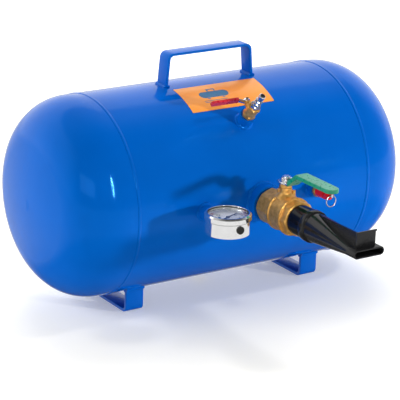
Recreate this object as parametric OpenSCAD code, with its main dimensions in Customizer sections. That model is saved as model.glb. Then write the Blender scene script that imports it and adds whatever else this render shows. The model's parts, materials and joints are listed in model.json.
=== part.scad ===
// Portable air receiver with a quick-dump ball valve, blast nozzle, filling valve, gauge and relief valve.
// The tank lies along X, its fittings point to -Y, and its two feet stand on Z = 0.

/* [Tank] */
// Outer diameter of the tank
tank_d = 300; // [270:5:360]
// Wall of the shell and of the heads
wall = 3; // [2.5:0.5:4]
// Length of the rolled shell, from seam to seam
shell_l = 404; // [330:2:490]
// Straight flange of each head
flange_l = 14; // [8:1:25]
// Knuckle radius of each head
knuckle_r = 80; // [60:1:96]
// Crown radius of each head
crown_r = 400; // [330:5:480]
// Height of the weld beads above the plate
bead_h = 0.9; // [0.5:0.1:1.5]

/* [Handle and feet] */
// Width of the handle's flat bar
handle_w = 25; // [20:1:40]
// Thickness of the handle's flat bar
handle_t = 4; // [3:0.5:6]
// Width of the feet's flat bar
foot_w = 30; // [25:1:40]
// Thickness of the feet's flat bar
foot_t = 5; // [4:0.5:6]
// Outer radius of the bars' bends
bend_r = 10; // [8:0.5:14]
// Outer length of the handle across its top
handle_l = 148; // [110:1:174]
// Height of the handle's top above the tank
handle_h = 50; // [40:1:70]
// Outward lean of the handle's legs
handle_lean = 5; // [0:0.5:7]
// Distance between the two feet, centre to centre
foot_pitch = 316; // [260:2:380]
// Outer length of a foot along the ground
foot_l = 136; // [110:1:164]
// Gap between the tank and the ground
ground_gap = 21; // [17:1:40]

/* [Places on the tank] */
// Main valve, along the tank from its middle
valve_x = 10; // [-20:1:25]
// Gauge, along the tank from its middle
gauge_x = -92; // [-130:1:-75]
// Relief valve, along the tank from its middle
relief_x = 98; // [70:1:150]
// Relief valve, angle above the horizontal
relief_angle = 2.5; // [0:0.5:10]
// Filling valve, along the tank from its middle
fill_x = 3; // [-40:1:40]
// Filling valve, angle above the horizontal
fill_angle = 47.5; // [44:0.5:50]
// Drain, along the tank from its middle
drain_x = 0; // [-100:1:100]
// Length of the label along the tank
label_l = 143; // [100:1:180]
// Lower edge of the label, angle above the horizontal
label_low = 58; // [56.5:0.5:62]
// Upper edge of the label, angle above the horizontal
label_high = 81; // [72:0.5:85]

/* [Main valve and nozzle] */
// Outer diameter of the outlet pipe
pipe_d = 42.4; // [38:0.2:44]
// Free length of the main valve's boss on the tank
valve_bung_h = 16.5; // [14:0.5:24]
// Length of the main valve, end to end
valve_l = 75; // [72:0.5:92]
// Width across the flats of the main valve's ends
valve_af = 50; // [50:0.5:58]
// Diameter of the main valve's body
valve_d = 57; // [56:0.5:64]
// Diameter of the main valve's ball
ball_d = 40; // [38:0.5:42]
// Bore of the main valve's ball
port_d = 28; // [20:0.5:28]
// Diameter of the main valve's stem
stem_d = 10; // [8:0.5:11]
// Length of the main lever from its stem
lever_l = 119; // [95:1:142]
// Height of the main lever's bend
lever_rise = 19.5; // [12:0.5:22]
// Width of the main lever's grip
grip_w = 21; // [20:0.5:26]
// Visible length of the hose sleeve
sleeve_l = 27; // [20:1:40]
// Length of the nozzle's round neck
neck_l = 15; // [10:1:25]
// Length of the nozzle's flattening stretch
fan_l = 100; // [80:1:130]
// Length of the nozzle's flat mouth
mouth_l = 22; // [20:1:30]
// Outer width of the nozzle's slot
slot_w = 52; // [46:1:60]
// Outer height of the nozzle's slot
slot_h = 12.5; // [11:0.5:18]
// Wall of the nozzle
nozzle_wall = 2.2; // [1.5:0.1:3]
// Width of the rim stop
stop_w = 32; // [24:1:40]
// Height of the rim stop above the slot
stop_h = 23; // [15:1:30]

/* [Gauge] */
// Diameter of the gauge's bezel
bezel_d = 68; // [62:1:72]
// Height of the gauge, bezel and case
gauge_h = 30; // [29:1:36]
// Distance from the tank to the gauge's centre
gauge_reach = 59; // [55:1:75]

/* [Filling valve] */
// Diameter of the filling valve's body
fill_d = 18; // [17:0.5:21]
// Length of the filling valve, end to end
fill_l = 23; // [22.5:0.5:30]
// Length of the filling lever from its stem
fill_lever_l = 61; // [45:1:73]
// Free length of the quick plug
plug_l = 29; // [26:0.5:35]

/* [Relief valve] */
// Diameter of the relief valve's cap
relief_d = 17; // [16:0.5:20]
// Outer diameter of the pull ring
ring_d = 18.5; // [14:0.5:20]

/* [Fits] */
// Radial clearance of a stem or spindle that turns
turn_fit = 0.05; // [0.02:0.01:0.1]
// Clearance between pieces that stay put
seat_fit = 0.1; // [0.05:0.05:0.2]
// Clearance between pieces that move past each other
move_gap = 0.4; // [0.3:0.1:0.6]

/* [Hidden] */
$fn = 64;

blue = [0.0, 0.3, 0.68];
brass = [0.72, 0.56, 0.3];
steel = [0.75, 0.76, 0.78];
black = [0.05, 0.05, 0.06];
green = [0.05, 0.55, 0.38];
red = [0.75, 0.08, 0.12];
white = [0.94, 0.94, 0.92];
cut = 1;  // how far a cutting solid passes the face that it cuts

// Tank and frame. The row's origin is under the middle of the whole object.
tank_r = tank_d / 2;
axis_z = tank_r + ground_gap;
knuckle_x = tank_r - knuckle_r;
crown_drop = sqrt(pow(crown_r - knuckle_r, 2) - pow(knuckle_x, 2));
bead_r = 4;
bead_w = 3;
label_t = 0.4;
seam_angle = -25;  // the shell's own seam, low on the back
small_bung_d = 24;

// Main line, measured from the tank's axis outwards
valve_bung_d = 56;
valve_bung_end = tank_r + valve_bung_h;
valve_start = valve_bung_end + 1;
valve_end = valve_start + valve_l;
valve_mid = valve_start + valve_l / 2;
ball_r = ball_d / 2;
port_r = port_d / 2;
barrel_r = valve_d / 2 - 1.5;
ring_w = 4;
cap_socket_l = 13;
lug_t = 3;
pipe_r = pipe_d / 2;
seat_in = ball_r - 9.5;  // seats, counted from the middle of the ball
seat_out = ball_r - 4;
seat_r = ball_r;
cavity_r = ball_r + 1;
joint_z = valve_mid + seat_out + 4.5;
spigot_r = valve_d / 2 - 4;
socket_l = 14;
inlet_l = 28;
end_sides = 8;
boss_r = 9;
boss_h = 38;
boss_flare = 3.5;
flange_y = ball_r + 4.5;
tang_depth = 5;
packing_low = 31;
packing_h = 5;
packing_r = 6.8;
gland_h = 6.5;
gland_af = 15.5;
lever_y = boss_h + gland_h + move_gap;
lever_t = 2.5;
lever_w = 17;
eye_d = 24;
stem_r = stem_d / 2;
nut_h = 6.5;
nut_af = 15;
tab_in = boss_r + 1;
tab_out = tab_in + lever_t;
tab_w = 8;
tab_reach = 8;  // how far the tab comes down past the boss's top
lug_top = boss_h - tab_reach + 4;
bend_start = 14;
bend_end = 39;
grip_wall = 1.8;

sleeve_r = pipe_r + 1.3;
sleeve_bore_r = pipe_r - 3.5;
spigot_l = 20;
sleeve_end = valve_end + sleeve_l;
neck_end = sleeve_end + neck_l;
fan_end = neck_end + fan_l;
nozzle_reach = fan_end + mouth_l;
neck_r = pipe_r + 0.3;
collar_r = sleeve_r + 1.5;
collar_l = 11;
slot_y = 2.5;
stop_t = 2.5;
stop_back = 8;
stop_lip = 2;
axis_y = (nozzle_reach - tank_r - bead_h) / 2;

// Gauge, in a frame at its centre with Z up
bezel_r = bezel_d / 2;
case_r = bezel_r - 2;
case_low = -gauge_h * 0.4;
case_high = case_low + gauge_h - 8;
bezel_h = 10;
bezel_low = case_low + gauge_h - bezel_h;
case_wall = 1.2;
lens_r = bezel_r - 2.4;
lens_t = 2;
lens_low = bezel_low + 5.5;
lip_r = bezel_r - 4.5;
dial_r = case_r - case_wall - 0.4;
dial_t = 0.8;
dial_low = bezel_low - 0.8;
pointer_low = dial_low + dial_t + 0.8;
pointer_t = 0.6;
pointer_rest = 23;  // rest direction of the pointer, counted from +X
spindle_r = 1;
socket_w = 12;
gauge_hex_af = 14;
gauge_thread_r = 6.5;
gauge_bung_h = 15;
gauge_y = tank_r + gauge_reach;
gauge_plug_r = 5.8;
gauge_plug_z = 0.5;
block_low = case_low + case_wall + 0.3;
movement_low = block_low + 7.5;
movement_gap = 5;
plate_t = 1;
block_y = 8;
tube_r = 22;
tube_t = 2.5;
tube_h = 6;
pillar_r = 1.5;
pillar_inset = 2;
movement_w = 24;
movement_front = -18;  // front and back edges of the movement's plates, counted from the pointer
movement_back = 12;
sector_r = 12;
pinion_r = 1.2;
sector_pivot = sector_r + pinion_r + move_gap;
sector_arc = 44;
sector_swing = 27;
sector_lead = 8;
sector_t = 1;
sector_hub_r = 2.5;
pointer_l = 22;
pointer_tail = 9;
pointer_hub_r = 3;
socket_stem_y = block_y + 10;
socket_bore_r = 2;

// Filling valve, measured from the tank's axis outwards
fill_bung_h = 16;
fill_bung_end = tank_r + fill_bung_h;
fill_start = fill_bung_end + 0.6;
fill_end = fill_start + fill_l;
fill_mid = fill_start + fill_l / 2;
fill_thread_r = 6.5;
fill_ball_r = 6;
fill_port_r = 3.5;
fill_seat_in = 3.4;
fill_seat_out = 6;
fill_socket_l = 4;
fill_hex_l = 6;
fill_cavity_r = fill_ball_r + 0.6;
fill_joint = fill_mid + fill_seat_out + 1;
fill_spigot_r = fill_d / 2 - 1.5;
fill_boss_r = 5.5;
fill_boss_h = 13;
fill_stem_r = 2.4;
fill_flange_y = fill_ball_r + 2.4;
fill_tang_depth = 1.8;
fill_packing_low = 9.6;
fill_packing_r = 4;
fill_packing_h = 1.6;
fill_gland_h = 3;
fill_gland_af = 9;
fill_lever_y = fill_boss_h + fill_gland_h + move_gap;
fill_lever_t = 1.5;
fill_lever_w = 7;
fill_nut_h = 3.5;
fill_nut_af = 8;
fill_rise = 4;
fill_eye_r = 6;
fill_grip_w = 9.5;
fill_grip_wall = 1.4;
fill_bend_start = 6;
fill_bend_end = 16;
fill_grip_start = 14;
plug_af = 14;
plug_hex_l = 5.5;
plug_collar_end = 10;  // the plug's places are counted from the valve's mouth
plug_groove_end = 13.5;
plug_ring_end = 16.8;
plug_neck_end = 21;
plug_bevel = 1.2;
plug_bore_r = 3;
plug_tip_r = 4.9;
plug_groove_r = 4.2;
plug_ring_r = 5.9;

// Relief valve, measured from the tank's axis outwards
relief_bung_h = 12;
relief_start = tank_r + relief_bung_h;
relief_hex_end = relief_start + 6;
relief_cap_l = 19;
relief_cap_end = relief_hex_end + relief_cap_l;
relief_af = 17;
relief_chamber_r = 5.4;
relief_cap_wall = 2;
relief_seat_z = relief_start - 3;
relief_stem_r = 1.6;
relief_port_r = 3;
relief_disc_r = 5;
relief_disc_t = 2;
knob_low = relief_cap_end + 0.6;
knob_h = 8;
knob_r = 7;
eye_z = knob_low + knob_h + 2.2;
eye_outer_r = 2.4;
eye_w = 2.8;
wire_r = 0.8;
ring_r = ring_d / 2 - wire_r;
eye_r = wire_r + move_gap;
spring_r = 4.6;
spring_wire_r = 0.6;
spring_turns = 5;

// Drain
drain_bung_d = 26;
drain_bung_h = 5;
drain_thread_r = 8;
drain_af = 22;
drain_hex_h = 5;

// ---------- Frames ----------

module at_axis() translate([0, axis_y, axis_z]) children();

// A fitting's own frame: Z runs out of the tank, X runs along it and Y is the side that faces up
module on_tank(x, angle) at_axis() translate([x, 0, 0]) rotate([90 - angle, 0, 0]) children();

module on_main() on_tank(valve_x, 0) children();
module on_fill() on_tank(fill_x, fill_angle) children();
module on_relief() on_tank(relief_x, relief_angle) children();
module on_drain() on_tank(drain_x, -90) children();
module at_gauge() at_axis() translate([gauge_x, -gauge_y, 0]) children();

// From a fitting's frame to its stem's: Z runs along the stem
module up_stem(z) translate([0, 0, z]) rotate([-90, 0, 0]) children();

// ---------- Shapes that repeat ----------

module ring(r_out, r_in, h) difference() {
    cylinder(h = h, r = r_out);
    translate([0, 0, -cut]) cylinder(h = h + 2 * cut, r = r_in);
}

// Hexagon with its corners turned off at both ends
// Block with flat sides and turned corners, as on a nut
module flats_block(af, h, sides = 6) intersection() {
    corner_r = af / 2 / cos(180 / sides);
    chamfer = min(af * 0.06, h / 4);
    cylinder(h = h, r = corner_r, $fn = sides);
    rotate_extrude() polygon([
        [0, 0], [af * 0.48, 0], [corner_r, chamfer], [corner_r, h - chamfer], [af * 0.48, h], [0, h]
    ]);
}

module tank_solid() at_axis() rotate([0, 90, 0])
    cylinder(h = shell_l, r = tank_r, center = true, $fn = 360);

// Boss that passes through the tank's wall, with a bore for its thread
module bung(d, h, bore_r) translate([0, 0, tank_r - wall - 2])
    ring(d / 2, bore_r + seat_fit, h + wall + 2);

module bung_hole(d) translate([0, 0, tank_r - wall - 10]) cylinder(h = wall + 20, r = d / 2 + seat_fit);

module bung_bead(d) difference() {
    translate([0, 0, tank_r - 10]) cylinder(h = 10 + bead_w, r1 = d / 2 + 10 + bead_w * 0.6, r2 = d / 2);
    translate([0, 0, tank_r - 10 - cut]) cylinder(h = 10 + bead_w + 2 * cut, r = d / 2 + seat_fit);
}

function arc(centre, r, from, to, steps = 12) = [
    for (i = [0 : steps]) let (a = from + (to - from) * i / steps) centre + r * [cos(a), sin(a)]
];

// Edge of a bent bar that opens downwards, from its left end at 0 over its top at h to its right end
function u_edge(centre, r, lean) = let (end_x = centre.x + r / cos(lean) + centre.y * tan(lean)) concat(
    [[-end_x, 0]], arc([-centre.x, centre.y], r, 180 - lean, 90), arc(centre, r, 90, lean), [[end_x, 0]]
);

// Flat bar of width w and thickness t, bent to a U with its back at height h
module u_bar(half, h, lean, w, t) linear_extrude(w, center = true) {
    centre = [half - bend_r, h - bend_r];
    inner = u_edge(centre, bend_r - t, lean);
    polygon(concat(u_edge(centre, bend_r, lean), [for (i = [len(inner) - 1 : -1 : 0]) inner[i]]));
}

// Half profile of a dished end, drawn on its axis, a given distance inside its outer face
module dish(inset) {
    tangent_x = (crown_r - inset) * knuckle_x / (crown_r - knuckle_r);
    translate([0, -flange_l]) square([tank_r - inset, flange_l]);
    intersection() {
        translate([knuckle_x, 0]) circle(knuckle_r - inset);
        square([tank_r, tank_r]);
    }
    intersection() {
        translate([0, -crown_drop]) circle(crown_r - inset);
        square([tangent_x, tank_r]);
    }
}

module head(side) at_axis() rotate([0, side * 90, 0]) translate([0, 0, shell_l / 2 + flange_l])
    rotate_extrude() difference() {
        dish(0);
        dish(wall);
        translate([0, -flange_l - tank_r]) square([tank_r - wall, tank_r]);
    }

// ---------- Tank ----------

module tank_shell() color(blue) difference() {
    at_axis() rotate([0, 90, 0]) translate([0, 0, -shell_l / 2])
        ring(tank_r, tank_r - wall, shell_l, $fn = 180);
    on_main() bung_hole(valve_bung_d);
    on_tank(gauge_x, 0) bung_hole(small_bung_d);
    on_relief() bung_hole(small_bung_d);
    on_fill() bung_hole(small_bung_d);
    on_drain() bung_hole(drain_bung_d);
}

module head_left() color(blue) head(-1);
module head_right() color(blue) head(1);

module girth_welds() color(blue) for (side = [-1, 1]) at_axis() rotate([0, side * 90, 0])
    translate([0, 0, shell_l / 2]) rotate_extrude() intersection() {
        translate([tank_r + bead_h - bead_r, 0]) circle(bead_r);
        translate([tank_r, -bead_r]) square([bead_r, 2 * bead_r]);
    }

module seam_weld() color(blue) difference() {
    at_axis() rotate([seam_angle, 0, 0]) translate([0, tank_r + bead_h - bead_r, 0]) rotate([0, 90, 0])
        cylinder(h = shell_l - 4 * bead_w, r = bead_r, center = true);
    tank_solid();
}

module handle_bar() at_axis() rotate([90, 0, 0])
    u_bar(handle_l / 2, tank_r + handle_h, handle_lean, handle_w, handle_t);

module handle() color(blue) difference() {
    handle_bar();
    tank_solid();
}

// Beads along both sides of the handle's legs
module handle_welds() color(blue) difference() {
    leg_x = handle_l / 2 + (handle_h - bend_r) * tan(handle_lean);
    for (s = [-1, 1], x = [leg_x, leg_x - handle_t]) at_axis() translate([s * x, 0, tank_r])
        rotate([90, 0, 0]) cylinder(h = handle_w, r = bead_w, center = true);
    tank_solid();
    handle_bar();
}

module foot_bar(side) at_axis() translate([side * foot_pitch / 2, 0, 0]) rotate([90, 0, 90])
    mirror([0, 1]) u_bar(foot_l / 2, axis_z, 0, foot_w, foot_t);

module foot(side) difference() {
    foot_bar(side);
    tank_solid();
}

module foot_left() color(blue) foot(-1);
module foot_right() color(blue) foot(1);

module foot_welds() color(blue) for (side = [-1, 1]) difference() {
    for (s = [-1, 1], y = [foot_l / 2, foot_l / 2 - foot_t]) at_axis()
        translate([side * foot_pitch / 2, s * y, -sqrt(pow(tank_r, 2) - pow(y, 2))])
            rotate([0, 90, 0]) cylinder(h = foot_w, r = bead_w, center = true);
    tank_solid();
    foot_bar(side);
}

module label_plate() color("orange") at_axis() rotate([0, 90, 0]) rotate([0, 0, 270 - label_high])
    rotate_extrude(angle = label_high - label_low)
        translate([tank_r + turn_fit, -label_l / 2]) square([label_t, label_l]);

// ---------- Bosses on the tank ----------

module valve_bung() color(blue) on_main() bung(valve_bung_d, valve_bung_h, pipe_r);
module gauge_bung() color(blue) on_tank(gauge_x, 0) bung(small_bung_d, gauge_bung_h, gauge_thread_r);
module relief_bung() color(blue) on_relief() bung(small_bung_d, relief_bung_h, gauge_thread_r);
module fill_bung() color(blue) on_fill() bung(small_bung_d, fill_bung_h, fill_thread_r);
module drain_bung() color(blue) on_drain() bung(drain_bung_d, drain_bung_h, drain_thread_r);

module bung_welds() color(blue) difference() {
    union() {
        on_main() bung_bead(valve_bung_d);
        on_tank(gauge_x, 0) bung_bead(small_bung_d);
        on_relief() bung_bead(small_bung_d);
        on_fill() bung_bead(small_bung_d);
        on_drain() bung_bead(drain_bung_d);
    }
    tank_solid();
}

module drain_plug() color(steel) on_drain() {
    translate([0, 0, tank_r - wall]) cylinder(h = drain_bung_h + wall, r = drain_thread_r);
    translate([0, 0, tank_r + drain_bung_h]) flats_block(drain_af, drain_hex_h);
}

module outlet_nipple() color(steel) on_main() translate([0, 0, tank_r + 2])
    ring(pipe_r, port_r, valve_start + socket_l - 1 - tank_r - 2);

// ---------- Pieces that both ball valves have ----------

// Pair of soft seats, hollowed to the ball
module seats(mid, low, high, r_out, r_in, r_ball) difference() {
    for (s = [0, 1]) translate([0, 0, mid]) mirror([0, 0, s]) translate([0, 0, low])
        ring(r_out, r_in, high - low);
    translate([0, 0, mid]) sphere(r_ball + move_gap);
}

// Ball with its port along the flow and a slot across its top for the stem
module ball(mid, r, r_port, slot, slot_low, turn) translate([0, 0, mid]) rotate([0, turn, 0])
    difference() {
        sphere(r);
        translate([0, 0, -r - cut]) cylinder(h = 2 * r + 2 * cut, r = r_port);
        translate([-r, slot_low, -slot / 2]) cube([2 * r, r, slot]);
    }

// Stem with a tang for the ball's slot and a flange that keeps it in the body
module stem(r, r_ball, flange_top, top, tang, depth, turn) rotate([0, 0, turn]) {
    intersection() {
        translate([-r, seat_fit - tang / 2, r_ball - depth + seat_fit])
            cube([2 * r, tang - 2 * seat_fit, depth + move_gap]);
        cylinder(h = top, r = r);
    }
    translate([0, 0, r_ball + move_gap]) cylinder(h = flange_top - r_ball - 2 * move_gap, r = r * 1.5);
    translate([0, 0, r_ball + move_gap]) cylinder(h = top - r_ball - move_gap, r = r);
}

// Bores of a valve's body for its stem: the flange's recess, the bearing and the packing's pocket
module stem_bores(r, top, flange_top, pocket_low, pocket_r) {
    cylinder(h = top + cut, r = r + turn_fit);
    cylinder(h = flange_top, r = r * 1.5 + move_gap);
    translate([0, 0, pocket_low]) cylinder(h = top, r = pocket_r);
}

module gland_nut(r, low, seat, h, r_thread, af) difference() {
    union() {
        translate([0, 0, low]) cylinder(h = seat - low + h / 2, r = r_thread - seat_fit);
        translate([0, 0, seat]) flats_block(af, h);
    }
    translate([0, 0, low - cut]) cylinder(h = seat - low + h + 2 * cut, r = r + turn_fit);
}

module lever_nut(r, low, h, af) translate([0, 0, low]) difference() {
    union() {
        cylinder(h = h * 0.25, r = af * 0.62);
        flats_block(af, h);
    }
    translate([0, 0, -cut]) cylinder(h = h + 2 * cut, r = r + seat_fit);
}

// Side profile of a pressed lever: its length along X and its height along Y
module lever_side(start, low, high, end, rise, t) polygon([
    [start, 0], [low, 0], [high, rise], [end, rise], [end, rise + t],
    [high - t / 2, rise + t], [low - t / 2, t], [start, t]
]);

// Plan of a lever: a round eye at the stem and a round tip
module lever_plan(eye, w, back, end) {
    circle(eye);
    translate([-back, -w / 2]) square([back + end - w / 2, w]);
    translate([end - w / 2, 0]) circle(w / 2);
}

// A flat strip that follows a lever's side profile and its plan
module lever_strip(eye, w, back, low, high, end, rise, t) intersection() {
    rotate([90, 0, 0]) linear_extrude(2 * w, center = true)
        lever_side(-back, low, high, end, rise, t);
    linear_extrude(rise + t) lever_plan(eye, w, back, end);
}

// ---------- Main valve ----------

// From the main valve's frame to its lever's: X runs along the lever and Z up the stem
module main_lever_frame() on_main() up_stem(valve_mid) rotate([0, 0, -90]) children();

// Side profile of the body, with a raised ring at its shoulder
module body_outline() {
    shoulder = valve_start + inlet_l;
    polygon([
        [0, shoulder - 4], [valve_af / 2, shoulder - 4], [barrel_r, shoulder + 2],
        [barrel_r, joint_z], [0, joint_z]
    ]);
    translate([0, shoulder + 2]) square([valve_d / 2, ring_w]);
}

// Lugs on the body that the lever's tab meets when the valve is open and when it is shut
module stop_lugs() for (side = [-1, 1]) rotate([0, 0, side == 1 ? -90 : 0])
    translate([-tab_out, side * (tab_w / 2 + move_gap + lug_t / 2) - lug_t / 2, barrel_r - 5])
        cube([tab_out - boss_r + 1, lug_t, lug_top - barrel_r + 5]);

module main_valve_body() color(brass) difference() {
    union() {
        on_main() {
            translate([0, 0, valve_start]) flats_block(valve_af, inlet_l, end_sides);
            rotate_extrude() body_outline();
            up_stem(valve_mid) cylinder(h = boss_h, r = boss_r);
            up_stem(valve_mid) translate([0, 0, barrel_r - boss_flare])
                cylinder(h = 2 * boss_flare, r1 = boss_r + 2 * boss_flare, r2 = boss_r);
        }
        main_lever_frame() stop_lugs();
    }
    on_main() {
        translate([0, 0, valve_start - cut]) cylinder(h = socket_l + cut, r = pipe_r + seat_fit);
        cylinder(h = valve_mid, r = port_r);
        translate([0, 0, valve_mid - seat_out - seat_fit])
            cylinder(h = seat_out + seat_fit, r = seat_r + seat_fit);
        translate([0, 0, valve_mid - seat_in])
            cylinder(h = joint_z - valve_mid + seat_in + cut, r = cavity_r);
        translate([0, 0, valve_mid + seat_out]) cylinder(h = joint_z - valve_mid, r = spigot_r + seat_fit);
        up_stem(valve_mid) stem_bores(stem_r, boss_h, flange_y, packing_low, packing_r);
    }
}

module main_valve_cap() color(brass) on_main() difference() {
    union() {
        translate([0, 0, valve_mid + seat_out + seat_fit])
            cylinder(h = joint_z - valve_mid - seat_out, r = spigot_r);
        translate([0, 0, joint_z]) cylinder(h = ring_w, r = valve_d / 2);
        translate([0, 0, joint_z]) flats_block(valve_af, valve_end - joint_z, end_sides);
    }
    cylinder(h = valve_end, r = port_r);
    translate([0, 0, valve_end - cap_socket_l]) cylinder(h = cap_socket_l + cut, r = pipe_r + seat_fit);
}

module main_seats() color(white) on_main() seats(valve_mid, seat_in, seat_out, seat_r, port_r, ball_r);

module main_packing() color(white) on_main() up_stem(valve_mid) translate([0, 0, packing_low])
    ring(packing_r - seat_fit, stem_r + turn_fit, packing_h);

module main_gland_nut() color(brass) on_main() up_stem(valve_mid)
    gland_nut(stem_r, packing_low + packing_h, boss_h, gland_h, packing_r, gland_af);

module main_ball() color(steel) on_main() ball(valve_mid, ball_r, port_r, stem_r, ball_r - tang_depth, 0);

module main_stem() color(steel) on_main() up_stem(valve_mid)
    stem(stem_r, ball_r, flange_y, lever_y + lever_t + nut_h + 1.5, stem_r, tang_depth, 0);

// Pressed steel lever with a tab bent down behind its eye
module main_lever() color(steel) main_lever_frame() translate([0, 0, lever_y]) difference() {
    union() {
        lever_strip(eye_d / 2, lever_w, tab_out, bend_start, bend_end, lever_l - 2, lever_rise, lever_t);
        translate([-tab_out, -tab_w / 2, boss_h - tab_reach - lever_y])
            cube([lever_t, tab_w, lever_y - boss_h + tab_reach + lever_t]);
    }
    translate([0, 0, -cut]) cylinder(h = lever_t + 2 * cut, r = stem_r + seat_fit);
}

// Dipped grip over the outer part of the lever
module main_lever_grip() color(green) main_lever_frame() translate([0, 0, lever_y]) difference() {
    intersection() {
        translate([0, 0, -grip_wall]) lever_strip(
            grip_w / 2, grip_w, 0, bend_start, bend_end, lever_l, lever_rise, lever_t + 2 * grip_wall);
        translate([bend_start + 2, -grip_w, -cut - grip_wall])
            cube([lever_l, 2 * grip_w, lever_rise + 20]);
    }
    lever_strip(eye_d / 2, lever_w + 2 * seat_fit, tab_out, bend_start, bend_end,
        lever_l - 2 + seat_fit, lever_rise, lever_t);
}

module main_lever_nut() color(steel) on_main() up_stem(valve_mid)
    lever_nut(stem_r, lever_y + lever_t, nut_h, nut_af);

// ---------- Nozzle ----------

// Black sleeve in the valve's mouth
module nozzle_sleeve() color(black) on_main() difference() {
    union() {
        translate([0, 0, valve_end - cap_socket_l + 0.5]) cylinder(h = cap_socket_l, r = pipe_r);
        translate([0, 0, valve_end + 0.3]) cylinder(h = sleeve_l - 0.3, r = sleeve_r);
    }
    cylinder(h = sleeve_end + cut, r = sleeve_bore_r);
}

// Round to flat body of the nozzle, a given distance inside its outer face
module nozzle_form(inset) {
    translate([0, 0, sleeve_end + inset]) cylinder(h = neck_l - inset, r = neck_r - inset);
    hull() {
        translate([0, 0, neck_end - 0.5]) cylinder(h = 0.5, r = neck_r - inset);
        translate([0, 0, fan_end]) slot_block(inset, 0.5);
    }
    translate([0, 0, fan_end]) slot_block(inset, mouth_l);
}

module slot_block(inset, h) translate([0, slot_y, 0]) linear_extrude(h) {
    end_x = (slot_w - slot_h) / 2;
    for (s = [-1, 1]) translate([s * end_x, 0]) circle(slot_h / 2 - inset);
    square([2 * end_x, slot_h - 2 * inset], center = true);
}

module nozzle() color(black) on_main() difference() {
    union() {
        nozzle_form(0);
        translate([0, 0, sleeve_end]) cylinder(h = collar_l, r = collar_r);
        translate([0, 0, sleeve_end - spigot_l]) cylinder(h = spigot_l + cut, r = sleeve_bore_r - seat_fit);
    }
    nozzle_form(nozzle_wall);
    translate([0, 0, sleeve_end - spigot_l - cut])
        cylinder(h = spigot_l + nozzle_wall + 2 * cut, r = sleeve_bore_r - nozzle_wall);
    translate([0, 0, fan_end + cut]) slot_block(nozzle_wall, mouth_l);
}

// Upright plate that hooks behind a tyre's rim, with a gusset along one side of it
module rim_stop() color(black) on_main() difference() {
    top = slot_y + slot_h / 2 + stop_h;
    front = nozzle_reach - stop_back;
    gusset_l = front - neck_end - 2;
    gusset_run = sqrt(pow(gusset_l, 2) + pow(stop_w / 2, 2));
    union() {
        translate([-stop_w / 2, slot_y, front - stop_t]) cube([stop_w, top - slot_y, stop_t]);
        translate([-stop_w / 2, top - stop_t, front - stop_t]) cube([stop_w + stop_lip, stop_t, stop_t]);
        translate([-stop_w / 2, 0, front]) rotate([0, atan2(gusset_l, stop_w / 2), 0])
            linear_extrude(stop_t) polygon([
                [stop_t / 2, slot_y], [stop_t / 2, top], [gusset_run, neck_r], [gusset_run, slot_y]
            ]);
    }
    nozzle_form(0);
}

// ---------- Gauge ----------

module gauge_case() color(steel) at_gauge() difference() {
    translate([0, 0, case_low]) cylinder(h = case_high - case_low, r = case_r);
    translate([0, 0, case_low + case_wall]) cylinder(h = gauge_h, r = case_r - case_wall);
    rotate([-90, 0, 0]) cylinder(h = bezel_r, r = gauge_thread_r + seat_fit);
    translate([0, 0, gauge_plug_z]) rotate([90, 0, 0]) cylinder(h = bezel_r, r = gauge_plug_r - 1);
}

module gauge_bezel() color(steel) at_gauge() translate([0, 0, bezel_low]) rotate_extrude() difference() {
    polygon([
        [case_r, 0], [bezel_r - 1, 0], [bezel_r, 1], [bezel_r, bezel_h - 2.5], [bezel_r - 2.5, bezel_h],
        [lip_r, bezel_h], [lip_r, lens_low - bezel_low + lens_t + seat_fit], [case_r - 1, bezel_h / 2]
    ]);
    translate([0, -cut]) square([case_r + seat_fit, case_high - bezel_low + seat_fit + cut]);
    square([lip_r + 0.5, lens_low - bezel_low]);
    translate([0, lens_low - bezel_low - seat_fit]) square([lens_r + seat_fit, lens_t + 2 * seat_fit]);
}

module gauge_lens() color([0.9, 0.95, 1, 0.4]) at_gauge() translate([0, 0, lens_low])
    cylinder(h = lens_t, r = lens_r);

module gauge_dial() color(white) at_gauge() translate([0, 0, dial_low])
    ring(dial_r, 2 * spindle_r, dial_t);

// Block that carries the tube and the movement, with the stem that screws into the boss
module gauge_socket() color(brass) at_gauge() difference() {
    hex_start = case_r + 1;
    thread_start = gauge_y - tank_r - gauge_bung_h - 1;
    union() {
        translate([-socket_w / 2, block_y, block_low])
            cube([socket_w, case_r - case_wall - 1.5 - block_y, movement_low - block_low]);
        rotate([-90, 0, 0]) {
            translate([0, 0, socket_stem_y]) cylinder(h = hex_start - socket_stem_y, r = gauge_thread_r);
            translate([0, 0, hex_start]) flats_block(gauge_hex_af, thread_start - hex_start);
            translate([0, 0, thread_start]) cylinder(h = gauge_bung_h - 1, r = gauge_thread_r);
        }
    }
    rotate([-90, 0, 0]) translate([0, 0, socket_stem_y + 2 * socket_bore_r])
        cylinder(h = gauge_y, r = socket_bore_r);
}

// Bent pressure tube, from the block round to its free end
module bourdon_tube() color(brass) at_gauge() difference() {
    translate([0, 0, block_low + 0.5]) rotate([0, 0, 100]) rotate_extrude(angle = 240)
        translate([tube_r, 0]) square([tube_t, tube_h]);
    translate([-socket_w / 2, block_y, block_low - cut]) cube([socket_w, bezel_r, gauge_h]);
}

module gauge_movement() color(brass) at_gauge() difference() {
    union() {
        for (z = [0, movement_gap + plate_t]) translate([-movement_w / 2, movement_front, movement_low + z])
            cube([movement_w, movement_back - movement_front, plate_t]);
        for (side = [-1, 1], y = [movement_front + pillar_inset, movement_back - pillar_inset])
            translate([side * (movement_w / 2 - pillar_inset), y, movement_low])
                cylinder(h = dial_low - movement_low, r = pillar_r);
    }
    for (y = [0, -sector_pivot]) translate([0, y, movement_low - cut])
        cylinder(h = gauge_h, r = spindle_r + turn_fit);
}

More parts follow.
